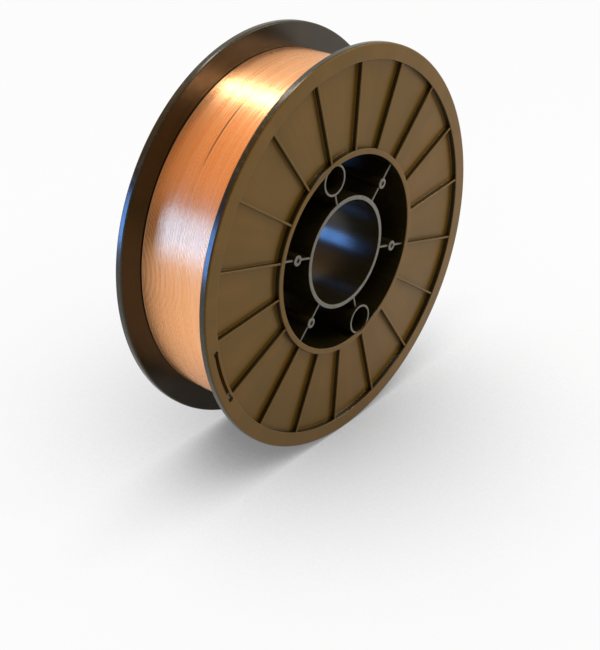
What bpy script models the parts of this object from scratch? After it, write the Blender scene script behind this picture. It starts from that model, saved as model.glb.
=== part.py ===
"""Plastic 200 mm spool, full of copper-coated MIG welding wire.

The spool is two equal mouldings that meet at half width. Each has a ribbed flange, half of the
barrel, half of the bore tube, six thin spokes, two drive-hole tubes and four bosses, of which two
end in a pin and two in a socket. The back half is the front one turned over about the line through
the drive holes, so that pins meet sockets. The wire is one turned ring on the barrel.

A half is made in its own frame: the spool's axis is Z, the face looks along +Z, half width is at
z = 0 and the drive holes lie on X. An empty stands the spool on its rims, with the axis level
along Y and the front face toward -Y. Sizes are in metres.
"""
from math import cos, pi, radians, sin

import bmesh
import bpy

# Overall
FLANGE_RADIUS = 0.100
SPOOL_WIDTH = 0.055

# Flange: a flat rim and a hub ring stand proud of the web, and ribs join them
FLANGE_THICKNESS = 0.0038
RECESS_DEPTH = 0.0026
RIM_WIDTH = 0.0078
RIM_ROUND = 0.0009
EDGE_ROUND = 0.0003
RIB_COUNT = 18
RIB_THICKNESS = 0.0012
RIB_DROP = 0.0003

# Barrel and bore tube, with the open well between them
WELL_RADIUS = 0.0484
BARREL_WALL = 0.0030
BORE_RADIUS = 0.0262
BORE_WALL = 0.0022
BORE_TUBE_RECESS = 0.0015
SPOKE_COUNT = 6
SPOKE_THICKNESS = 0.0012
SPOKE_DROP = 0.0002

# Drive-hole tubes, on two opposite spokes
DRIVE_CENTRE_RADIUS = 0.0425
DRIVE_HOLE_RADIUS = 0.0066
DRIVE_WALL = 0.0012
DRIVE_TUBE_RECESS = 0.0004

# Bosses on the other four spokes, with the pins and sockets that join the halves
BOSS_CENTRE_RADIUS = 0.0382
BOSS_RADIUS = 0.0027
BOSS_RECESS = 0.0010
PIN_RADIUS = 0.0013
PIN_LENGTH = 0.0050
PIN_SIDES = (60, 240)
SOCKET_SIDES = (120, 300)

# Slot in the rim that holds the wire's end: a groove between two through holes
SLOT_INSET = 0.0053
SLOT_WIDTH = 0.0020
SLOT_DEPTH = 0.0024
SLOT_HOLE_RADIUS = 0.0014
SLOT_START = 83.0
SLOT_END = 100.4

# Wire: the share of the way from the barrel to the flange's edge that it fills
WINDING_FILL = 0.753
WINDING_ROUND = 0.0005

# Clearances
JOINT_GAP = 0.0003
PIN_CLEARANCE = 0.0003
WIRE_CLEARANCE = 0.0003

# Pose: how far the drive holes lean from upright, counter-clockwise seen from the front
DRIVE_LINE_LEAN = 15.0

# Fineness of round shapes
TURN_STEPS = 96
BORE_STEPS = 72
TUBE_STEPS = 32
BOSS_STEPS = 16
PIN_STEPS = 12
SLOT_STEPS = 8
ROUND_STEPS = 3
SMOOTH_ANGLE = 32.0
WELD_DISTANCE = 0.00001

# How far tools reach past what they cut. What joins at the joint plane overruns it by different
# amounts and is trimmed there last, so that no two faces coincide before they are joined.
CUT_MARGIN = 0.002
TURNED_OVERRUN = 0.003
PLATE_OVERRUN = 0.002
TUBE_OVERRUN = 0.001

# Worked out from the sizes above
FACE = SPOOL_WIDTH / 2
WEB_TOP = FACE - RECESS_DEPTH
FLANGE_INSIDE = FACE - FLANGE_THICKNESS
RIM_INNER_RADIUS = FLANGE_RADIUS - RIM_WIDTH
SLOT_RADIUS = FLANGE_RADIUS - SLOT_INSET
BARREL_RADIUS = WELL_RADIUS + BARREL_WALL
WINDING_RADIUS = BARREL_RADIUS + WINDING_FILL * (FLANGE_RADIUS - BARREL_RADIUS)
BORE_TUBE_RADIUS = BORE_RADIUS + BORE_WALL
BORE_TUBE_TOP = FACE - BORE_TUBE_RECESS
JOINT = JOINT_GAP / 2
SOCKET_RADIUS = PIN_RADIUS + PIN_CLEARANCE
SOCKET_DEPTH = PIN_LENGTH + PIN_CLEARANCE
WALL_OVERLAP = BORE_WALL / 2
WEB_OVERLAP = (FLANGE_THICKNESS - RECESS_DEPTH) / 2


def clear_scene():
    for item in list(bpy.data.objects):
        bpy.data.objects.remove(item, do_unlink=True)


def plastic():
    material = bpy.data.materials.new("moulded_plastic")
    material.use_nodes = True
    shader = material.node_tree.nodes["Principled BSDF"]
    shader.inputs["Base Color"].default_value = (0.125, 0.090, 0.040, 1.0)
    shader.inputs["Roughness"].default_value = 0.35
    shader.inputs["Metallic"].default_value = 0.0
    return material


def copper_wire():
    material = bpy.data.materials.new("copper_coated_wire")
    material.use_nodes = True
    shader = material.node_tree.nodes["Principled BSDF"]
    shader.inputs["Base Color"].default_value = (0.86, 0.45, 0.27, 1.0)
    shader.inputs["Roughness"].default_value = 0.3
    shader.inputs["Metallic"].default_value = 1.0
    return material


def new_object(name, mesh):
    item = bpy.data.objects.new(name, mesh)
    bpy.context.scene.collection.objects.link(item)
    return item


def object_from_bmesh(name, shape):
    """Close a bmesh: weld its seam, turn its faces outward and wrap it in an object."""
    bmesh.ops.remove_doubles(shape, verts=shape.verts, dist=WELD_DISTANCE)
    bmesh.ops.recalc_face_normals(shape, faces=shape.faces)
    mesh = bpy.data.meshes.new(name)
    shape.to_mesh(mesh)
    shape.free()
    return new_object(name, mesh)


def quarter_round(radius_centre, height_centre, size, start, end):
    """Points of a round edge in a turned outline, from one angle to another in degrees."""
    points = []
    for step in range(ROUND_STEPS + 1):
        angle = radians(start + (end - start) * step / ROUND_STEPS)
        points.append((radius_centre + size * cos(angle), height_centre + size * sin(angle)))
    return points


def turned(name, outline, steps):
    """Turn a closed outline of (radius, height) points about Z.

    The first point lies half a step round, so that the flat of a step, not a corner, is
    square to X and Y.
    """
    shape = bmesh.new()
    half_step = pi / steps
    ring = [shape.verts.new((r * cos(half_step), r * sin(half_step), z)) for r, z in outline]
    edges = [shape.edges.new((ring[i - 1], ring[i])) for i in range(len(ring))]
    bmesh.ops.spin(shape, geom=ring + edges, cent=(0, 0, 0), axis=(0, 0, 1), angle=2 * pi, steps=steps)
    return object_from_bmesh(name, shape)


def cylinder(name, centre_radius, angle, radius, bottom, top, steps):
    """An upright cylinder at a place given by its distance from the axis and its angle in degrees."""
    shape = bmesh.new()
    bmesh.ops.create_cone(shape, cap_ends=True, segments=steps, radius1=radius, radius2=radius,
                          depth=top - bottom)
    turn = radians(angle)
    place = (centre_radius * cos(turn), centre_radius * sin(turn), (bottom + top) / 2)
    bmesh.ops.translate(shape, verts=shape.verts, vec=place)
    return object_from_bmesh(name, shape)


def radial_plate(name, angle, inner, outer, thickness, bottom, top):
    """An upright plate that runs outward from the axis, at an angle in degrees."""
    shape = bmesh.new()
    bmesh.ops.create_cube(shape, size=1.0)
    bmesh.ops.scale(shape, verts=shape.verts, vec=(outer - inner, thickness, top - bottom))
    bmesh.ops.translate(shape, verts=shape.verts, vec=((inner + outer) / 2, 0, (bottom + top) / 2))
    turn = radians(angle)
    for vert in shape.verts:
        x, y = vert.co.x, vert.co.y
        vert.co.x = x * cos(turn) - y * sin(turn)
        vert.co.y = x * sin(turn) + y * cos(turn)
    return object_from_bmesh(name, shape)


def combine(base, tools, operation):
    """Join the tools to the base, or cut them out of it, and delete them."""
    group = bpy.data.collections.new("tools")
    for tool in tools:
        bpy.context.scene.collection.objects.unlink(tool)
        group.objects.link(tool)
    bpy.context.scene.collection.children.link(group)
    modifier = base.modifiers.new(operation.lower(), "BOOLEAN")
    modifier.operation = operation
    modifier.solver = "EXACT"
    modifier.operand_type = "COLLECTION"
    modifier.collection = group
    bpy.context.view_layer.update()
    evaluated = base.evaluated_get(bpy.context.evaluated_depsgraph_get())
    result = bpy.data.meshes.new_from_object(evaluated)
    base.modifiers.clear()
    base.data = result
    for tool in tools:
        bpy.data.objects.remove(tool, do_unlink=True)
    bpy.data.collections.remove(group)


def flange_and_barrel():
    """Half of the barrel with its flange: hub ring, web and rim, as one turned outline."""
    outline = [(WELL_RADIUS, -TURNED_OVERRUN)]
    outline += [(WELL_RADIUS, FACE - EDGE_ROUND), (WELL_RADIUS + EDGE_ROUND, FACE)]
    outline += [(BARREL_RADIUS - EDGE_ROUND, FACE), (BARREL_RADIUS, FACE - EDGE_ROUND)]
    outline += [(BARREL_RADIUS, WEB_TOP), (RIM_INNER_RADIUS, WEB_TOP)]
    outline += [(RIM_INNER_RADIUS, FACE - EDGE_ROUND), (RIM_INNER_RADIUS + EDGE_ROUND, FACE)]
    outline += quarter_round(FLANGE_RADIUS - RIM_ROUND, FACE - RIM_ROUND, RIM_ROUND, 90, 0)
    outline += quarter_round(FLANGE_RADIUS - RIM_ROUND, FLANGE_INSIDE + RIM_ROUND, RIM_ROUND, 0, -90)
    outline += [(BARREL_RADIUS, FLANGE_INSIDE), (BARREL_RADIUS, -TURNED_OVERRUN)]
    return turned("half", outline, TURN_STEPS)


def bore_tube():
    outline = [(BORE_RADIUS, -TURNED_OVERRUN)]
    outline += [(BORE_RADIUS, BORE_TUBE_TOP - EDGE_ROUND), (BORE_RADIUS + EDGE_ROUND, BORE_TUBE_TOP)]
    outline += [(BORE_TUBE_RADIUS - EDGE_ROUND, BORE_TUBE_TOP)]
    outline += [(BORE_TUBE_RADIUS, BORE_TUBE_TOP - EDGE_ROUND), (BORE_TUBE_RADIUS, -TURNED_OVERRUN)]
    return turned("bore_tube", outline, BORE_STEPS)


def ribs():
    plates = []
    for index in range(RIB_COUNT):
        plates.append(radial_plate("rib", index * 360 / RIB_COUNT, BARREL_RADIUS - WALL_OVERLAP,
                                   RIM_INNER_RADIUS + WALL_OVERLAP, RIB_THICKNESS,
                                   WEB_TOP - WEB_OVERLAP, FACE - RIB_DROP))
    return plates


def spokes():
    plates = []
    for index in range(SPOKE_COUNT):
        plates.append(radial_plate("spoke", index * 360 / SPOKE_COUNT, BORE_TUBE_RADIUS - WALL_OVERLAP,
                                   WELL_RADIUS + WALL_OVERLAP, SPOKE_THICKNESS, -PLATE_OVERRUN,
                                   BORE_TUBE_TOP - SPOKE_DROP))
    return plates


def bosses():
    return [cylinder("boss", BOSS_CENTRE_RADIUS, angle, BOSS_RADIUS, -TUBE_OVERRUN,
                     FACE - BOSS_RECESS, BOSS_STEPS) for angle in PIN_SIDES + SOCKET_SIDES]


def pins():
    return [cylinder("pin", BOSS_CENTRE_RADIUS, angle, PIN_RADIUS, -PIN_LENGTH, PIN_LENGTH, PIN_STEPS)
            for angle in PIN_SIDES]


def sockets():
    return [cylinder("socket", BOSS_CENTRE_RADIUS, angle, SOCKET_RADIUS, -CUT_MARGIN,
                     SOCKET_DEPTH, PIN_STEPS) for angle in SOCKET_SIDES]


def drive_tubes():
    return [cylinder("drive_tube", DRIVE_CENTRE_RADIUS, angle, DRIVE_HOLE_RADIUS + DRIVE_WALL,
                     -TUBE_OVERRUN, FACE - DRIVE_TUBE_RECESS, TUBE_STEPS) for angle in (0, 180)]


def drive_bores():
    return [cylinder("drive_bore", DRIVE_CENTRE_RADIUS, angle, DRIVE_HOLE_RADIUS,
                     -TURNED_OVERRUN - CUT_MARGIN, FACE + CUT_MARGIN, TUBE_STEPS) for angle in (0, 180)]


def joint_trim():
    """All that lies past the joint plane, up to the barrel's outside."""
    return cylinder("joint_trim", 0, 0, BARREL_RADIUS + CUT_MARGIN, -TURNED_OVERRUN - CUT_MARGIN,
                    JOINT, TURN_STEPS)


def slot_groove():
    """The groove of the wire-end slot: a band along an arc, sunk into the rim's face."""
    shape = bmesh.new()
    rings = []
    for step in range(SLOT_STEPS + 1):
        angle = radians(SLOT_START + (SLOT_END - SLOT_START) * step / SLOT_STEPS)
        ring = []
        for side, height in ((-1, FACE - SLOT_DEPTH), (1, FACE - SLOT_DEPTH),
                             (1, FACE + CUT_MARGIN), (-1, FACE + CUT_MARGIN)):
            radius = SLOT_RADIUS + side * SLOT_WIDTH / 2
            ring.append(shape.verts.new((radius * cos(angle), radius * sin(angle), height)))
        rings.append(ring)
    for first, second in zip(rings, rings[1:]):
        for i in range(4):
            shape.faces.new((first[i - 1], first[i], second[i], second[i - 1]))
    shape.faces.new(rings[0])
    shape.faces.new(rings[-1])
    return object_from_bmesh("slot_groove", shape)


def slot_holes():
    return [cylinder("slot_hole", SLOT_RADIUS, angle, SLOT_HOLE_RADIUS, FLANGE_INSIDE - CUT_MARGIN,
                     FACE + CUT_MARGIN, PIN_STEPS) for angle in (SLOT_START, SLOT_END)]


def moulded_half():
    """One moulding of the spool, as a mesh in its own frame."""
    half = flange_and_barrel()
    combine(half, ribs() + [bore_tube()], "UNION")
    combine(half, spokes(), "UNION")
    combine(half, drive_tubes() + bosses(), "UNION")
    combine(half, drive_bores() + [slot_groove()], "DIFFERENCE")
    combine(half, slot_holes(), "DIFFERENCE")
    combine(half, [joint_trim()], "DIFFERENCE")
    combine(half, sockets(), "DIFFERENCE")
    combine(half, pins(), "UNION")
    mesh = half.data
    bpy.data.objects.remove(half, do_unlink=True)
    return mesh


def winding():
    """The wire as one turned ring between the flanges, clear of them and of the barrel."""
    inner = BARREL_RADIUS + WIRE_CLEARANCE
    side = FLANGE_INSIDE - WIRE_CLEARANCE
    outline = [(inner, -side), (inner, side)]
    outline += quarter_round(WINDING_RADIUS - WINDING_ROUND, side - WINDING_ROUND, WINDING_ROUND, 90, 0)
    outline += quarter_round(WINDING_RADIUS - WINDING_ROUND, WINDING_ROUND - side, WINDING_ROUND, 0, -90)
    return turned("wire_winding", outline, TURN_STEPS)


def smooth(mesh):
    mesh.shade_smooth()
    mesh.set_sharp_from_angle(angle=radians(SMOOTH_ANGLE))


def stand():
    """An empty on the spool's axis, at the height where the rims touch the floor."""
    axis = bpy.data.objects.new("spool_axis", None)
    bpy.context.scene.collection.objects.link(axis)
    axis.location.z = FLANGE_RADIUS * cos(pi / TURN_STEPS)
    axis.rotation_euler = (radians(90), 0, 0)
    return axis


def main():
    clear_scene()
    axis = stand()
    lean = radians(90 + DRIVE_LINE_LEAN)

    half_mesh = moulded_half()
    half_mesh.materials.clear()
    half_mesh.materials.append(plastic())
    smooth(half_mesh)
    front = new_object("spool_half_front", half_mesh)
    front.rotation_euler = (0, 0, lean)
    back = new_object("spool_half_back", half_mesh)
    back.rotation_euler = (radians(180), 0, lean)

    wire = winding()
    wire.data.materials.append(copper_wire())
    smooth(wire.data)
    wire.rotation_euler = (0, 0, lean)

    for item in (front, back, wire):
        item.parent = axis


main()
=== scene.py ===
"""Looks for a plastic 200 mm spool, full of copper-coated welding wire, on a pale floor.

The two mouldings are built again with fine rounded edges and the winding with its separate turns,
each in the place of its CAD node. A half is made in its own frame, with the spool's axis along Z
and its face along +Z, and is then stood on its rims. Sizes are in metres, angles in degrees unless
a comment says radians.
"""

from math import cos, degrees, hypot, pi, radians, sin

import bmesh
import bpy
from mathutils import Matrix, Vector, noise

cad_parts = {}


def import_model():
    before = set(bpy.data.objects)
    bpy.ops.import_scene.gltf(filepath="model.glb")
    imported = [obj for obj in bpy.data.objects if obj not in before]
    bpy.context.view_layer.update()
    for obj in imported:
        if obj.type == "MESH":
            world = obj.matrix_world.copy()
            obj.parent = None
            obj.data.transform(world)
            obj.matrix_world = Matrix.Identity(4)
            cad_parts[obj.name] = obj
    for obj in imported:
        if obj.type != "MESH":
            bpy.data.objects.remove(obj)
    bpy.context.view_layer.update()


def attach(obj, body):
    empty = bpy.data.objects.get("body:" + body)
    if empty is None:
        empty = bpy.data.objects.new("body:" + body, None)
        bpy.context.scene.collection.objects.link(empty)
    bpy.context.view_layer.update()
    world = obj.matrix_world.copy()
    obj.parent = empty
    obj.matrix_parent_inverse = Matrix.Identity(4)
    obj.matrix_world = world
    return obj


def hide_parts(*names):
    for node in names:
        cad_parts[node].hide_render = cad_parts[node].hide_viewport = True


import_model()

# Sizes of a half, as in the part's source. The flange's radius and face are a hair less, so that
# rounding keeps them inside the CAD's box
FLANGE_RADIUS = 0.09994
FACE = 0.027495
FLANGE_THICKNESS = 0.0038
RECESS_DEPTH = 0.0026
RIM_INNER = 0.0922
RIM_ROUND = 0.0009
RIB_COUNT = 18
RIB_THICKNESS = 0.0012
RIB_DROP = 0.0003
WELL_RADIUS = 0.0484
BARREL_RADIUS = 0.0514
BORE_RADIUS = 0.0262
BORE_TUBE_RADIUS = 0.0284
BORE_TUBE_RECESS = 0.0015
SPOKE_COUNT = 6
SPOKE_THICKNESS = 0.0012
SPOKE_DROP = 0.0002
DRIVE_CENTRE_RADIUS = 0.0425
DRIVE_HOLE_RADIUS = 0.0066
DRIVE_WALL = 0.0012
DRIVE_TUBE_RECESS = 0.0004
DRIVE_ANGLES = (0, 180)
BOSS_CENTRE_RADIUS = 0.0382
BOSS_RADIUS = 0.0027
BOSS_RECESS = 0.0010
BOSS_ANGLES = (60, 120, 240, 300)
SLOT_RADIUS = 0.0947
SLOT_WIDTH = 0.0020
SLOT_DEPTH = 0.0024
SLOT_HOLE_RADIUS = 0.0014
SLOT_START = 83.0
SLOT_END = 100.4

# Where a half stands: its joint off half width, its turn about the axis, and the axis's height
JOINT = 0.00001
LEAN = 105.0
AXIS_HEIGHT = 0.099946

# Heights in a half's own frame
WEB_TOP = FACE - RECESS_DEPTH
FLANGE_INSIDE = FACE - FLANGE_THICKNESS
BORE_TUBE_TOP = FACE - BORE_TUBE_RECESS
DRIVE_TUBE_TOP = FACE - DRIVE_TUBE_RECESS
BOSS_TOP = FACE - BOSS_RECESS

# Fine relief of a half
EDGE_ROUND = 0.00050
ROOT_ROUND = 0.00020
RIB_ROUND = 0.00045
TUBE_ROUND = 0.00030
DIMPLE_RADIUS = 0.0011
DIMPLE_DEPTH = 0.0007
DIMPLE_ROUND = 0.0001

# How far a wall runs into what it joins, and a cutter past what it cuts
WALL_OVERLAP = 0.0011
FOOT_OVERLAP = 0.0005
CUT_OVERRUN = 0.002
DRIVE_CORE_RADIUS = 0.0030
MERGE_DISTANCE = 0.000005

# Steps round each shape and along each round edge
TURN_STEPS = 256
BORE_STEPS = 128
TUBE_STEPS = 64
BOSS_STEPS = 40
SLOT_STEPS = 24
HOLE_STEPS = 24
RIM_EDGE_STEPS = 7
EDGE_STEPS = 4
RIB_EDGE_STEPS = 3
ROOT_STEPS = 3
DIMPLE_EDGE_STEPS = 2
SMOOTH_ANGLE = 38

# Finishes of a half: polished where the normal's share along the axis is below OUTWARD, a painted
# highlight on the ends in the hub, and satin, the olive plastic lightened as painted sheen, elsewhere
# and in the slot
SATIN_SHEEN, POLISHED, HUB_HIGHLIGHT = range(3)
OUTWARD = 0.6
SLOT_REACH = 0.002
HUB_INSET = 0.0005

# Winding: flattened turns side by side, and layers that show as rings on the two ends
WINDING_RADIUS = 0.0880
WINDING_SIDE = 0.0234
WINDING_BORE = 0.0517
WIRE_RADIUS = 0.00040
TURNS = 58
LAYERS = 52
WIND_STEPS = 144
TOP_ANGLES = (-66, -44, -22, 0, 22, 44, 66)
END_ANGLES = (-55, 55)
CROWN = 0.45
CREST_INSET = 0.00006
LAYER_INSET = 0.0002
LAYER_DROP = 3 * WIRE_RADIUS
LAYER_STAGGER = 0.35 * WIRE_RADIUS
WIRE_SMOOTH_ANGLE = 75

# How far turns stray: along the axis with their neighbours, along it alone, and outward. The last
# few turns beside a flange stray less
STRAY_TOGETHER = 0.00005
STRAY_ALONE = 0.00001
STRAY_OUTWARD = 0.000008
CALM_TURNS = 3

# The noise behind each: its change round the spool, its change from turn to turn, and its start
NOISE_TOGETHER = (0.12, 0.07, 3.0)
NOISE_ALONE = (0.08, 1.7, 40.0)
NOISE_OUTWARD = (0.08, 1.3, 90.0)

# The gap after one turn: its middle and reach round the spool, its width, its depth where it is
# closed and how much deeper it is at its middle, and how many turns on each side make room for it
GAP_TURN = 25
GAP_ANGLE = 20.0
GAP_REACH = 15.0
GAP_WIDTH = 0.00045
GAP_FLOOR = 0.0003
GAP_DEPTH = 0.0016
GAP_TURNS = 7

# Where the wire gets painted shade, in the gap between two turns: below the outermost turns, away from
# the bore
GAP_SHADE_INSET = 0.00035
GAP_SHADE_BORE_MARGIN = 0.001

# Plastic finishes: lighter and darker colour, roughness range, strength of the waves, index of
# refraction and tint of the gloss
# The satin colours are the olive plastic lightened as painted sheen
PLASTICS = (("olive_satin_plastic_painted_sheen", (0.148, 0.070, 0.006), (0.116, 0.060, 0.004), (0.29, 0.38),
             0.20, 1.6, (1.0, 0.58, 0.14)),
            ("olive_polished_plastic", (0.020, 0.015, 0.004), (0.014, 0.011, 0.003), (0.20, 0.27),
             0.05, 1.5, (1.0, 0.92, 0.78)),
            # Lighter grey on the hub's ends: a painted highlight
            ("olive_plastic_painted_hub_highlight", (0.175, 0.160, 0.118), (0.145, 0.132, 0.096), (0.24, 0.32),
             0.10, 1.55, (1.0, 1.0, 1.0)))

# Noises of the plastic: scale, detail and roughness. Ranges: the part of a noise that is spread out
CLOUDS = (26.0, 3.0, 0.5)
STREAKS = (9.0, 4.0, 0.6)
SCUFFS = (260.0, 4.0, 0.65)
GRAIN = (1500.0, 2.0, 0.5)
PATCHES = (60.0, 3.0, 0.5)
WAVES = (45.0, 2.0, 0.5)
CLOUD_RANGE = (0.36, 0.64)
STREAK_RANGE = (0.45, 0.75)
SCUFF_RANGE = (0.52, 0.66)
WIDE_RANGE = (0.3, 0.7)

# Streaks round the plastic, wear near the rim's edge from one radius to another, and fine relief
STREAK_COLOUR = (0.050, 0.034, 0.006)
STREAK_SHARE = 0.35
WEAR_COLOUR = (0.12, 0.10, 0.06)
WEAR_SHARE = 0.20
WEAR_ROUGHNESS = 0.08
WEAR_START = 0.0985
WEAR_END = 0.0999
WAVE_DEPTH = 0.0006
GRAIN_STRENGTH = 0.18
GRAIN_DEPTH = 0.00008

# Copper coat: two tones along the drawing marks and a deeper one in broad parts. Painted shade in the
# wire's gap: two tones.
# A noise on the wire is stretched by a scale along each axis
MARKS = (1.0, 3.0, 0.6)
MARKS_SCALE = (5, 700, 5)
MARKS_RANGE = (0.32, 0.70)
DEEP = (1.0, 2.0, 0.5)
DEEP_SCALE = (9, 60, 9)
DEEP_RANGE = (0.4, 0.7)
GAP_SHADE_SCALE = (60, 700, 60)
GAP_SHADE_RANGE = (0.35, 0.65)
COPPER_DARK = (0.92, 0.43, 0.18)
COPPER_LIGHT = (0.965, 0.50, 0.245)
COPPER_DEEP = (0.905, 0.39, 0.15)
COPPER_ROUGHNESS = (0.25, 0.30)
DEEP_SHARE = 0.35
GAP_SHADE_DARK = (0.12, 0.038, 0.016)
GAP_SHADE_LIGHT = (0.20, 0.065, 0.026)
GAP_SHADE_ROUGHNESS = (0.62, 0.76)

# Floor: its greys, the share of plain white that direct and mirrored rays see, and the soft shadow
# in that white, which ends at a distance from the object
FLOOR_SIZE = 4.0
FLOOR_CELLS = 8
FLOOR_NOISE = (3.0, 2.0, 0.5)
FLOOR_DARK = (0.86, 0.86, 0.86)
FLOOR_LIGHT = (0.89, 0.89, 0.89)
FLOOR_ROUGHNESS = 0.9
FLOOR_GLOSS = 0.1
FLOOR_SHARE = 0.96
SHADOW_SAMPLES = 8
SHADOW_REACH = 0.30
SHADOW_STOPS = ((0.30, (0.22, 0.22, 0.22)), (0.90, (1.0, 1.0, 1.0)))

# Room: colours by height, from straight down at 0 to straight up at 1
ROOM_HEIGHTS = ((0.50, (0.80, 0.78, 0.75)), (0.60, (0.86, 0.83, 0.78)),
                (0.75, (0.94, 0.90, 0.83)), (0.95, (0.94, 0.92, 0.88)))

# Parts of the room that are darker or warmer: centre, outer and inner angle, colour
ROOM_PATCHES = (((-0.56, 0.52, 0.64), 48, 28, (1.15, 0.68, 0.33)),
                ((-0.498, 0.637, 0.588), 30, 10, (0.66, 0.43, 0.26)),
                ((-0.84, 0.54, -0.03), 40, 22, (0.20, 0.14, 0.10)),
                ((-0.64, -0.75, 0.15), 32, 15, (0.25, 0.25, 0.25)),
                ((-0.32, -0.70, 0.64), 32, 16, (0.26, 0.20, 0.15)))

# Strength of the room as light on the object, and as what is seen and mirrored
ROOM_LIGHT = 0.45
ROOM_SEEN = 1.0

# Lamps: name, place, target, width, height, radiance and colour
WHITE = (1.0, 1.0, 1.0)
LAMPS = (("tube_light", (0.01, -0.02, 0.42), (0.01, -0.0199, 0.0), 0.035, 0.36, 15.0, WHITE),
         ("floor_light", (0.45, -0.42, 0.36), (0.45, -0.4199, 0.0), 0.20, 0.20, 16.0, WHITE),
         ("window", (-0.946, 0.738, 0.235), (0.0, 0.0, 0.235), 0.40, 0.45, 18.0, (0.12, 0.34, 1.0)))

# Camera, fitted to the photograph. Lens and sensor are in millimetres and the shift in pixels
CAMERA_PLACE = (-0.4264, -0.3515, 0.3651)
CAMERA_HEADING = -52.445
CAMERA_DOWN = 32.186
CAMERA_ROLL = 1.125
CAMERA_LENS = 68.504
CAMERA_SENSOR = 36.0
CAMERA_SHIFT = (-40, 55)
CAMERA_CLIP = (0.01, 50.0)
PICTURE_HEIGHT = 650


def new_object(name, mesh):
    item = bpy.data.objects.new(name, mesh)
    bpy.context.scene.collection.objects.link(item)
    return item


def new_mesh(name, shape):
    mesh = bpy.data.meshes.new(name)
    shape.to_mesh(mesh)
    shape.free()
    return mesh


def evaluated_mesh(item):
    """A copy of an object's mesh with its modifiers applied."""
    bpy.context.view_layer.update()
    evaluated = item.evaluated_get(bpy.context.evaluated_depsgraph_get())
    return bpy.data.meshes.new_from_object(evaluated)


def finish_shape(name, shape):
    bmesh.ops.remove_doubles(shape, verts=shape.verts, dist=MERGE_DISTANCE)
    bmesh.ops.recalc_face_normals(shape, faces=shape.faces)
    return new_object(name, new_mesh(name, shape))


def polar(radius, angle):
    return (radius * cos(radians(angle)), radius * sin(radians(angle)))


def arc(centre_radius, centre_height, size, start, end, steps):
    """Points of a round edge in a turned outline, from one angle to another."""
    points = []
    for step in range(steps + 1):
        angle = radians(start + (end - start) * step / steps)
        points.append((centre_radius + size * cos(angle), centre_height + size * sin(angle)))
    return points


def ring_of(shape, outline, angle, place=(0.0, 0.0)):
    """New points of a (radius, height) outline at an angle, in radians, about an upright line."""
    across, along = cos(angle), sin(angle)
    return [shape.verts.new((place[0] + r * across, place[1] + r * along, z)) for r, z in outline]


def rings_of(shape, outline, steps, place):
    return [ring_of(shape, outline, 2 * pi * (step + 0.5) / steps, place) for step in range(steps)]


def skin(shape, rings):
    """Faces between closed rings of points, and from the last ring to the first."""
    count = len(rings[0])
    for near, far in zip(rings, rings[1:] + rings[:1]):
        for i in range(count):
            j = (i + 1) % count
            shape.faces.new((near[i], near[j], far[j], far[i]))


def turned(name, outline, steps, place=(0.0, 0.0)):
    """Turn a closed outline about an upright line at a place."""
    shape = bmesh.new()
    skin(shape, rings_of(shape, outline, steps, place))
    return finish_shape(name, shape)


def solid_turned(name, outline, steps, place):
    """Turn an open outline and close its two ends on the line itself, so the body is full."""
    shape = bmesh.new()
    low = shape.verts.new((place[0], place[1], outline[0][1]))
    high = shape.verts.new((place[0], place[1], outline[-1][1]))
    rings = rings_of(shape, outline, steps, place)
    for near, far in zip(rings, rings[1:] + rings[:1]):
        shape.faces.new((low, near[0], far[0]))
        shape.faces.new((high, far[-1], near[-1]))
        for i in range(len(outline) - 1):
            shape.faces.new((near[i], near[i + 1], far[i + 1], far[i]))
    return finish_shape(name, shape)


def ridge(name, angle, inner, outer, thickness, bottom, top, root=0.0):
    """A thin radial wall with round top edges and, with a root, a flared foot on the web."""
    half = thickness / 2
    side = [(half + root, bottom)]
    if root > 0:
        for step in range(ROOT_STEPS + 1):
            turn = radians(90 * step / ROOT_STEPS)
            side.append((half + root - root * sin(turn), WEB_TOP + root - root * cos(turn)))
    side += arc(half - RIB_ROUND, top - RIB_ROUND, RIB_ROUND, 0, 90, RIB_EDGE_STEPS)
    section = side + [(-x, z) for x, z in reversed(side)]
    shape = bmesh.new()
    across, along = polar(1.0, angle)
    ends = []
    for radius in (inner, outer):
        ends.append([shape.verts.new((radius * across - x * along, radius * along + x * across, z))
                     for x, z in section])
    count = len(section)
    for i in range(count):
        j = (i + 1) % count
        shape.faces.new((ends[0][i], ends[0][j], ends[1][j], ends[1][i]))
    shape.faces.new(ends[0])
    shape.faces.new(list(reversed(ends[1])))
    return finish_shape(name, shape)


def combine(base, tools, operation):
    """Join the tools to the base, or cut them out of it, and delete them."""
    group = bpy.data.collections.new("tools")
    for tool in tools:
        bpy.context.scene.collection.objects.unlink(tool)
        group.objects.link(tool)
    bpy.context.scene.collection.children.link(group)
    modifier = base.modifiers.new(operation.lower(), "BOOLEAN")
    modifier.operation = operation
    modifier.solver = "MANIFOLD"
    modifier.operand_type = "COLLECTION"
    modifier.collection = group
    result = evaluated_mesh(base)
    base.modifiers.clear()
    base.data = result
    for tool in tools:
        bpy.data.objects.remove(tool, do_unlink=True)
    bpy.data.collections.remove(group)


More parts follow.
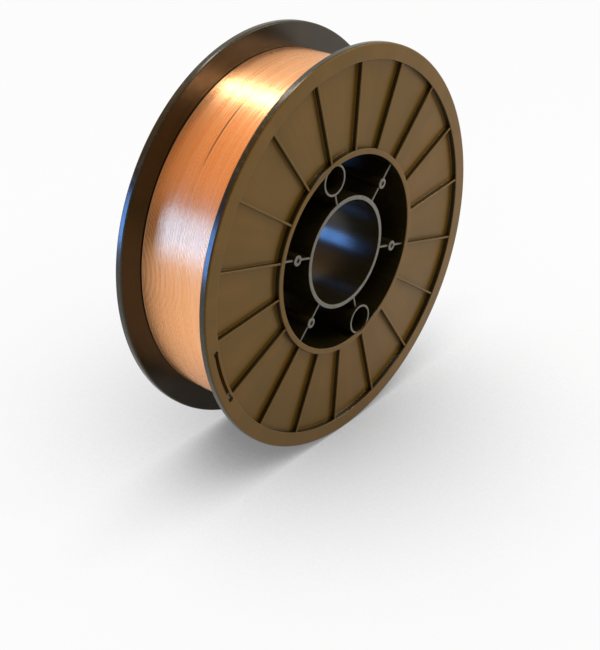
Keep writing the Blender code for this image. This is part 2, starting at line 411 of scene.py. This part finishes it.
def flange_and_barrel():
    """Half of the barrel with its hub ring, web and rim, edges and corners rounded."""
    edge, root, rim = EDGE_ROUND, ROOT_ROUND, RIM_ROUND
    outline = [(WELL_RADIUS, JOINT)]
    outline += arc(WELL_RADIUS + edge, FACE - edge, edge, 180, 90, EDGE_STEPS)
    outline += arc(BARREL_RADIUS - edge, FACE - edge, edge, 90, 0, EDGE_STEPS)
    outline += arc(BARREL_RADIUS + root, WEB_TOP + root, root, 180, 270, EDGE_STEPS)
    outline += arc(RIM_INNER - root, WEB_TOP + root, root, -90, 0, EDGE_STEPS)
    outline += arc(RIM_INNER + edge, FACE - edge, edge, 180, 90, EDGE_STEPS)
    outline += arc(FLANGE_RADIUS - rim, FACE - rim, rim, 90, 0, RIM_EDGE_STEPS)
    outline += arc(FLANGE_RADIUS - rim, FLANGE_INSIDE + rim, rim, 0, -90, RIM_EDGE_STEPS)
    outline += arc(BARREL_RADIUS + root, FLANGE_INSIDE - root, root, 90, 180, ROOT_STEPS)
    outline += [(BARREL_RADIUS, JOINT)]
    return turned("half", outline, TURN_STEPS)


def tube(name, inner, outer, top, steps, place=(0.0, 0.0)):
    outline = [(inner, JOINT)]
    outline += arc(inner + TUBE_ROUND, top - TUBE_ROUND, TUBE_ROUND, 180, 90, EDGE_STEPS)
    outline += arc(outer - TUBE_ROUND, top - TUBE_ROUND, TUBE_ROUND, 90, 0, EDGE_STEPS)
    outline += [(outer, JOINT)]
    return turned(name, outline, steps, place)


def rib(angle):
    return ridge("rib", angle, BARREL_RADIUS - WALL_OVERLAP, RIM_INNER + WALL_OVERLAP, RIB_THICKNESS,
                 WEB_TOP - FOOT_OVERLAP, FACE - RIB_DROP, ROOT_ROUND)


def spoke(angle):
    return ridge("spoke", angle, BORE_TUBE_RADIUS - WALL_OVERLAP, WELL_RADIUS + WALL_OVERLAP,
                 SPOKE_THICKNESS, JOINT, BORE_TUBE_TOP - SPOKE_DROP)


def drive_tube(angle):
    """A drive-hole tube that is still nearly full. Its hole is cut later."""
    return tube("drive_tube", DRIVE_CORE_RADIUS, DRIVE_HOLE_RADIUS + DRIVE_WALL, DRIVE_TUBE_TOP,
                TUBE_STEPS, polar(DRIVE_CENTRE_RADIUS, angle))


def boss(angle):
    """A round boss with a shallow dimple in its end."""
    outline = [(BOSS_RADIUS, JOINT)]
    outline += arc(BOSS_RADIUS - TUBE_ROUND, BOSS_TOP - TUBE_ROUND, TUBE_ROUND, 0, 90, EDGE_STEPS)
    outline += arc(DIMPLE_RADIUS + DIMPLE_ROUND, BOSS_TOP - DIMPLE_ROUND, DIMPLE_ROUND, 90, 180,
                   DIMPLE_EDGE_STEPS)
    outline += [(DIMPLE_RADIUS, BOSS_TOP - DIMPLE_DEPTH)]
    return solid_turned("boss", outline, BOSS_STEPS, polar(BOSS_CENTRE_RADIUS, angle))


def slot_groove():
    """The groove of the wire-end slot: a band along an arc, sunk into the rim's face."""
    inner, outer = SLOT_RADIUS - SLOT_WIDTH / 2, SLOT_RADIUS + SLOT_WIDTH / 2
    low, high = FACE - SLOT_DEPTH, FACE + CUT_OVERRUN
    section = ((inner, low), (outer, low), (outer, high), (inner, high))
    shape = bmesh.new()
    rings = []
    for step in range(SLOT_STEPS + 1):
        angle = SLOT_START + (SLOT_END - SLOT_START) * step / SLOT_STEPS
        rings.append(ring_of(shape, section, radians(angle)))
    for near, far in zip(rings, rings[1:]):
        for i in range(len(section)):
            shape.faces.new((near[i - 1], near[i], far[i], far[i - 1]))
    shape.faces.new(rings[0])
    shape.faces.new(rings[-1])
    return finish_shape("slot_groove", shape)


def slot_hole(angle):
    outline = [(SLOT_HOLE_RADIUS, FLANGE_INSIDE - CUT_OVERRUN), (SLOT_HOLE_RADIUS, FACE + CUT_OVERRUN)]
    return solid_turned("slot_hole", outline, HOLE_STEPS, polar(SLOT_RADIUS, angle))


def drive_bore(angle):
    """The cutter of a drive hole, which rounds the hole's edge too."""
    mouth = DRIVE_HOLE_RADIUS + TUBE_ROUND
    outline = [(DRIVE_HOLE_RADIUS, -CUT_OVERRUN)]
    outline += arc(mouth, DRIVE_TUBE_TOP - TUBE_ROUND, TUBE_ROUND, 180, 90, EDGE_STEPS)
    outline += [(mouth, FACE + CUT_OVERRUN)]
    return solid_turned("drive_bore", outline, TUBE_STEPS, polar(DRIVE_CENTRE_RADIUS, angle))


def half_mesh():
    """One moulding of the spool, as a mesh in its own frame."""
    half = flange_and_barrel()
    walls = [rib(i * 360 / RIB_COUNT) for i in range(RIB_COUNT)]
    walls.append(tube("bore_tube", BORE_RADIUS, BORE_TUBE_RADIUS, BORE_TUBE_TOP, BORE_STEPS))
    walls += [spoke(i * 360 / SPOKE_COUNT) for i in range(SPOKE_COUNT)]
    walls += [drive_tube(angle) for angle in DRIVE_ANGLES]
    walls += [boss(angle) for angle in BOSS_ANGLES]
    combine(half, walls, "UNION")
    cuts = [slot_groove()]
    cuts += [slot_hole(angle) for angle in (SLOT_START, SLOT_END)]
    cuts += [drive_bore(angle) for angle in DRIVE_ANGLES]
    combine(half, cuts, "DIFFERENCE")
    mesh = half.data
    bpy.data.objects.remove(half, do_unlink=True)
    return mesh


def finish_of(face):
    """The finish of a half's face, in the half's own frame."""
    radius = hypot(face.center.x, face.center.y)
    if abs(radius - SLOT_RADIUS) < SLOT_REACH and FLANGE_INSIDE < face.center.z < FACE - EDGE_ROUND:
        return SATIN_SHEEN
    # Walls and insides take the darker polished colour; faces along the axis the satin colour, lightened
    # as painted sheen
    if face.normal.z < OUTWARD:
        return POLISHED
    # The hub's ends get a lighter grey as painted highlight
    return HUB_HIGHLIGHT if radius < WELL_RADIUS - HUB_INSET else SATIN_SHEEN


def stood(mesh, turned_over=False):
    """Move a mesh from its own frame to where it stands."""
    place = Matrix.Translation((0, 0, AXIS_HEIGHT)) @ Matrix.Rotation(radians(90), 4, "X")
    place = place @ Matrix.Rotation(radians(LEAN), 4, "Z")
    if turned_over:
        place = place @ Matrix.Rotation(radians(180), 4, "X")
    mesh.transform(place)
    mesh.update()
    return mesh


def smooth(item):
    """Shade a half smooth, with its flat faces kept flat by weighted normals."""
    item.data.shade_smooth()
    item.data.set_sharp_from_angle(angle=radians(SMOOTH_ANGLE))
    weighted = item.modifiers.new("weighted", "WEIGHTED_NORMAL")
    weighted.mode = "FACE_AREA"
    weighted.keep_sharp = True
    result = evaluated_mesh(item)
    item.modifiers.clear()
    item.data = result


def gap_at(angle):
    """How far the gap is open at an angle in radians, from 0 to 1."""
    away = abs((degrees(angle) - GAP_ANGLE + 180) % 360 - 180)
    return max(0.0, 1.0 - (away / GAP_REACH) ** 2)


def wander(turn, angle, round_change, turn_change, start):
    """Smooth noise from about -1 to 1, at a turn and an angle in radians."""
    x, y = cos(angle), sin(angle)
    return noise.noise(Vector((x * round_change, y * round_change, turn * turn_change + start)))


def turn_shift(turn, angle):
    """How far a turn lies off its place, along the axis and outward, at an angle in radians."""
    along = STRAY_TOGETHER * wander(turn, angle, *NOISE_TOGETHER)
    along += STRAY_ALONE * wander(turn, angle, *NOISE_ALONE)
    side = turn - GAP_TURN - 0.5
    room = max(0.0, 1.0 - abs(side) / GAP_TURNS)
    along += 0.5 * GAP_WIDTH * gap_at(angle) * (side / abs(side)) * room
    return along, STRAY_OUTWARD * wander(turn, angle, *NOISE_OUTWARD)


def top_points(angle):
    """The (radius, height) points across the outermost turns, at an angle in radians."""
    pitch = 2 * (WINDING_SIDE - WIRE_RADIUS) / (TURNS - 1)
    points = []
    for number in range(TURNS):
        along, lift = turn_shift(number, angle)
        edge = min(number, TURNS - 1 - number)
        along *= min(1.0, edge / CALM_TURNS)
        centre = -WINDING_SIDE + WIRE_RADIUS + pitch * number + along
        for tilt in TOP_ANGLES:
            turn = radians(tilt)
            drop = CROWN * WIRE_RADIUS * (1 - cos(turn))
            points.append((WINDING_RADIUS - CREST_INSET - drop + lift, centre + WIRE_RADIUS * sin(turn)))
        if number == GAP_TURN:
            points.append((WINDING_RADIUS - GAP_FLOOR - GAP_DEPTH * gap_at(angle), centre + 0.5 * pitch))
    return points


def end_points(odd):
    """The (radius, height) points of the layers on the upper end, every other layer set back."""
    low = WINDING_BORE + LAYER_INSET
    high = WINDING_RADIUS - LAYER_DROP
    pitch = (high - low) / LAYERS
    points = []
    for layer in range(LAYERS):
        centre = low + pitch * (layer + 0.5)
        back = LAYER_STAGGER * ((layer + odd) % 2)
        for tilt in END_ANGLES:
            turn = radians(tilt)
            points.append((centre + 0.5 * pitch * sin(turn) / sin(radians(END_ANGLES[-1])),
                           WINDING_SIDE - back - WIRE_RADIUS * (1 - cos(turn))))
    return points


def wire_mesh():
    """The winding as one closed turned body."""
    side = WINDING_SIDE - WIRE_RADIUS
    lower = [(WINDING_BORE, -side)] + [(radius, -height) for radius, height in end_points(0)]
    upper = list(reversed(end_points(1))) + [(WINDING_BORE, side)]
    shape = bmesh.new()
    rings = []
    for step in range(WIND_STEPS):
        angle = 2 * pi * (step + 0.5) / WIND_STEPS
        rings.append(ring_of(shape, lower + top_points(angle) + upper, angle))
    skin(shape, rings)
    bmesh.ops.recalc_face_normals(shape, faces=shape.faces)
    return new_mesh("wire_turns", shape)


class Nodes:
    """Short calls for building a node tree."""

    def __init__(self, tree):
        self.tree = tree

    def add(self, kind, **values):
        node = self.tree.nodes.new(kind)
        for key, value in values.items():
            setattr(node, key, value)
        return node

    def link(self, source, target):
        self.tree.links.new(source, target)

    def centred_place(self):
        """Object coordinates in metres, counted from the spool's axis."""
        place = self.add("ShaderNodeTexCoord").outputs["Object"]
        return self.scaled(place, (1, 1, 1), (0, 0, -AXIS_HEIGHT))

    def noise(self, vector, scale, detail, rough):
        node = self.add("ShaderNodeTexNoise")
        node.inputs["Scale"].default_value = scale
        node.inputs["Detail"].default_value = detail
        node.inputs["Roughness"].default_value = rough
        self.link(vector, node.inputs["Vector"])
        return node.outputs["Fac"]

    def ramp(self, value, stops):
        node = self.add("ShaderNodeValToRGB")
        band = node.color_ramp
        while len(band.elements) < len(stops):
            band.elements.new(0.5)
        for element, (place, colour) in zip(band.elements, stops):
            element.position = place
            element.color = (*colour, 1.0)
        self.link(value, node.inputs["Fac"])
        return node.outputs["Color"]

    def spread(self, value, old, new=(0.0, 1.0)):
        """The value brought from an old range to a new one."""
        node = self.add("ShaderNodeMapRange")
        for name, number in zip(("From Min", "From Max", "To Min", "To Max"), (*old, *new)):
            node.inputs[name].default_value = number
        self.link(value, node.inputs["Value"])
        return node.outputs["Result"]

    def maths(self, operation, first, second):
        node = self.add("ShaderNodeMath", operation=operation)
        for socket, value in zip(node.inputs, (first, second)):
            if isinstance(value, (int, float)):
                socket.default_value = value
            else:
                self.link(value, socket)
        return node.outputs[0]

    def mix(self, factor, first, second):
        """Blend two colours, each a tuple or a socket."""
        node = self.add("ShaderNodeMix", data_type="RGBA")
        self.link(factor, node.inputs["Factor"])
        sockets = [s for s in node.inputs if s.type == "RGBA"]
        for socket, value in zip(sockets, (first, second)):
            if isinstance(value, tuple):
                socket.default_value = (*value, 1.0)
            else:
                self.link(value, socket)
        return [s for s in node.outputs if s.type == "RGBA"][0]

    def scaled(self, vector, factors, offset=(0.0, 0.0, 0.0)):
        node = self.add("ShaderNodeMapping")
        node.inputs["Scale"].default_value = factors
        node.inputs["Location"].default_value = offset
        self.link(vector, node.inputs["Vector"])
        return node.outputs["Vector"]

    def bump(self, height, strength, distance, normal=None):
        node = self.add("ShaderNodeBump")
        node.inputs["Strength"].default_value = strength
        node.inputs["Distance"].default_value = distance
        self.link(height, node.inputs["Height"])
        if normal is not None:
            self.link(normal, node.inputs["Normal"])
        return node.outputs["Normal"]

    def seen(self):
        """1 for camera, glossy and transmission rays, and 0 for the rest."""
        path = self.add("ShaderNodeLightPath")
        either = self.maths("MAXIMUM", path.outputs["Is Camera Ray"], path.outputs["Is Glossy Ray"])
        return self.maths("MAXIMUM", either, path.outputs["Is Transmission Ray"])


def material(name):
    made = bpy.data.materials.new(name)
    made.use_nodes = True
    shader = made.node_tree.nodes["Principled BSDF"]
    return made, shader, Nodes(made.node_tree)


def two_tones(nodes, value, part, dark, light):
    """A colour that goes from dark to light over a part of the value's range."""
    return nodes.ramp(value, ((part[0], dark), (part[1], light)))


def plastic(name, light, dark, roughness, waves, index, tint):
    """Olive plastic: clouds of two tones, streaks along the flow, soft waves and a worn rim edge."""
    made, shader, nodes = material(name)
    centred = nodes.centred_place()
    base = two_tones(nodes, nodes.noise(centred, *CLOUDS), CLOUD_RANGE, dark, light)
    flat = nodes.scaled(centred, (1, 0, 1))
    unit = nodes.add("ShaderNodeVectorMath", operation="NORMALIZE")
    nodes.link(flat, unit.inputs[0])
    streaks = nodes.noise(unit.outputs["Vector"], *STREAKS)
    base = nodes.mix(nodes.spread(streaks, STREAK_RANGE, (0.0, STREAK_SHARE)), base, STREAK_COLOUR)
    length = nodes.add("ShaderNodeVectorMath", operation="LENGTH")
    nodes.link(flat, length.inputs[0])
    edge = nodes.spread(length.outputs["Value"], (WEAR_START, WEAR_END))
    wear = nodes.maths("MULTIPLY", edge, nodes.spread(nodes.noise(centred, *SCUFFS), SCUFF_RANGE))
    base = nodes.mix(nodes.maths("MULTIPLY", wear, WEAR_SHARE), base, WEAR_COLOUR)
    nodes.link(base, shader.inputs["Base Color"])
    grain = nodes.noise(centred, *GRAIN)
    rough = nodes.spread(nodes.noise(centred, *PATCHES), WIDE_RANGE, roughness)
    rough = nodes.maths("ADD", rough, nodes.maths("MULTIPLY", wear, WEAR_ROUGHNESS))
    nodes.link(rough, shader.inputs["Roughness"])
    normal = nodes.bump(nodes.noise(centred, *WAVES), waves, WAVE_DEPTH)
    normal = nodes.bump(grain, GRAIN_STRENGTH, GRAIN_DEPTH, normal)
    nodes.link(normal, shader.inputs["Normal"])
    shader.inputs["IOR"].default_value = index
    shader.inputs["Specular Tint"].default_value = (*tint, 1.0)
    return made


def copper():
    """The bright coat of the wire, with fine drawing marks along each turn."""
    made, shader, nodes = material("copper_coat_on_wire")
    centred = nodes.centred_place()
    drawn = nodes.noise(nodes.scaled(centred, MARKS_SCALE), *MARKS)
    broad = nodes.noise(nodes.scaled(centred, DEEP_SCALE), *DEEP)
    base = two_tones(nodes, drawn, MARKS_RANGE, COPPER_DARK, COPPER_LIGHT)
    base = nodes.mix(nodes.spread(broad, DEEP_RANGE, (0.0, DEEP_SHARE)), base, COPPER_DEEP)
    nodes.link(base, shader.inputs["Base Color"])
    nodes.link(nodes.spread(drawn, WIDE_RANGE, COPPER_ROUGHNESS), shader.inputs["Roughness"])
    shader.inputs["Metallic"].default_value = 1.0
    return made


def painted_gap_shade():
    """Painted shade: a dark copper colour on the wire that lies below, in the gap between two turns."""
    made, shader, nodes = material("painted_shade_in_wire_gap")
    gap_shade = nodes.noise(nodes.scaled(nodes.centred_place(), GAP_SHADE_SCALE), *MARKS)
    base = two_tones(nodes, gap_shade, GAP_SHADE_RANGE, GAP_SHADE_DARK, GAP_SHADE_LIGHT)
    nodes.link(base, shader.inputs["Base Color"])
    nodes.link(nodes.spread(gap_shade, WIDE_RANGE, GAP_SHADE_ROUGHNESS), shader.inputs["Roughness"])
    return made


def floor_material():
    """A matt pale floor, plain white to the camera and in mirrors but for the object's shadow."""
    made, shader, nodes = material("pale_floor")
    place = nodes.add("ShaderNodeTexCoord").outputs["Object"]
    base = two_tones(nodes, nodes.noise(place, *FLOOR_NOISE), WIDE_RANGE, FLOOR_DARK, FLOOR_LIGHT)
    nodes.link(base, shader.inputs["Base Color"])
    shader.inputs["Roughness"].default_value = FLOOR_ROUGHNESS
    shader.inputs["Specular IOR Level"].default_value = FLOOR_GLOSS
    glow = nodes.add("ShaderNodeEmission")
    near = nodes.add("ShaderNodeAmbientOcclusion", samples=SHADOW_SAMPLES)
    near.inputs["Distance"].default_value = SHADOW_REACH
    nodes.link(nodes.ramp(near.outputs["AO"], SHADOW_STOPS), glow.inputs["Color"])
    share = nodes.maths("MULTIPLY", nodes.seen(), FLOOR_SHARE)
    blend = nodes.add("ShaderNodeMixShader")
    nodes.link(share, blend.inputs["Fac"])
    nodes.link(shader.outputs["BSDF"], blend.inputs[1])
    nodes.link(glow.outputs["Emission"], blend.inputs[2])
    output = [n for n in made.node_tree.nodes if n.type == "OUTPUT_MATERIAL"][0]
    nodes.link(blend.outputs["Shader"], output.inputs["Surface"])
    return made


def world():
    """A pale room, lighter overhead, with soft darker and warmer parts."""
    made = bpy.data.worlds.new("pale_room")
    made.use_nodes = True
    nodes = Nodes(made.node_tree)
    background = made.node_tree.nodes["Background"]
    way = nodes.add("ShaderNodeTexCoord").outputs["Generated"]
    split = nodes.add("ShaderNodeSeparateXYZ")
    nodes.link(way, split.inputs["Vector"])
    height = nodes.spread(split.outputs["Z"], (-1.0, 1.0))
    colour = nodes.ramp(height, ROOM_HEIGHTS)
    for centre, outer, inner, level in ROOM_PATCHES:
        toward = nodes.add("ShaderNodeVectorMath", operation="DOT_PRODUCT")
        nodes.link(way, toward.inputs[0])
        toward.inputs[1].default_value = Vector(centre).normalized()
        share = nodes.spread(toward.outputs["Value"], (cos(radians(outer)), cos(radians(inner))))
        colour = nodes.mix(share, colour, level)
    nodes.link(colour, background.inputs["Color"])
    strength = nodes.spread(nodes.seen(), (0.0, 1.0), (ROOM_LIGHT, ROOM_SEEN))
    nodes.link(strength, background.inputs["Strength"])
    bpy.context.scene.world = made


def area(name, place, target, width, height, radiance, colour):
    """A softbox that faces a target, its height along the upright as seen from there."""
    lamp = bpy.data.lights.new(name, "AREA")
    lamp.shape = "RECTANGLE"
    lamp.size = width
    lamp.size_y = height
    lamp.energy = radiance * width * height * pi
    lamp.color = colour
    item = new_object(name, lamp)
    item.location = place
    way = Vector(target) - Vector(place)
    item.rotation_euler = way.to_track_quat("-Z", "Y").to_euler()
    item.visible_camera = False


def camera():
    data = bpy.data.cameras.new("camera")
    data.lens = CAMERA_LENS
    data.sensor_width = CAMERA_SENSOR
    data.shift_x = CAMERA_SHIFT[0] / PICTURE_HEIGHT
    data.shift_y = CAMERA_SHIFT[1] / PICTURE_HEIGHT
    data.clip_start, data.clip_end = CAMERA_CLIP
    item = new_object("camera", data)
    turn = Matrix.Rotation(radians(CAMERA_HEADING), 3, "Z")
    turn = turn @ Matrix.Rotation(radians(90 - CAMERA_DOWN), 3, "X")
    turn = turn @ Matrix.Rotation(radians(CAMERA_ROLL), 3, "Z")
    item.rotation_euler = turn.to_euler()
    item.location = CAMERA_PLACE
    bpy.context.scene.camera = item


def add_halves(finishes):
    """Both mouldings, the back one the same as the front one but turned over."""
    front_mesh = half_mesh()
    back_mesh = front_mesh.copy()
    for name, mesh, turned_over, node in (("front_half", front_mesh, False, "spool_half_front"),
                                          ("back_half", back_mesh, True, "spool_half_back")):
        mesh.name = name
        mesh.materials.clear()
        for finish in finishes:
            mesh.materials.append(finish)
        for face in mesh.polygons:
            face.material_index = finish_of(face)
        item = new_object(name, stood(mesh, turned_over))
        smooth(item)
        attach(item, "root")
        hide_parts(node)


def add_winding(coat, gap_shade):
    mesh = wire_mesh()
    mesh.materials.append(coat)
    mesh.materials.append(gap_shade)
    # Faces deep in the gap between two turns get the painted shade colour
    for face in mesh.polygons:
        away = hypot(face.center.x, face.center.y)
        below = WINDING_BORE + GAP_SHADE_BORE_MARGIN < away < WINDING_RADIUS - GAP_SHADE_INSET
        if below and abs(face.center.z) < WINDING_SIDE - WIRE_RADIUS:
            face.material_index = 1
    wire = new_object("wire_turns", stood(mesh))
    wire.data.shade_smooth()
    wire.data.set_sharp_from_angle(angle=radians(WIRE_SMOOTH_ANGLE))
    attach(wire, "root")
    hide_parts("wire_winding")


def add_floor():
    shape = bmesh.new()
    bmesh.ops.create_grid(shape, x_segments=FLOOR_CELLS, y_segments=FLOOR_CELLS, size=FLOOR_SIZE)
    mesh = new_mesh("floor", shape)
    mesh.materials.append(floor_material())
    new_object("floor", mesh)


def main():
    finishes = [plastic(*finish) for finish in PLASTICS]
    coat = copper()
    gap_shade = painted_gap_shade()
    add_halves(finishes)
    add_winding(coat, gap_shade)
    add_floor()
    world()
    for lamp in LAMPS:
        area(*lamp)
    camera()
    bpy.context.scene.view_settings.view_transform = "Standard"


main()
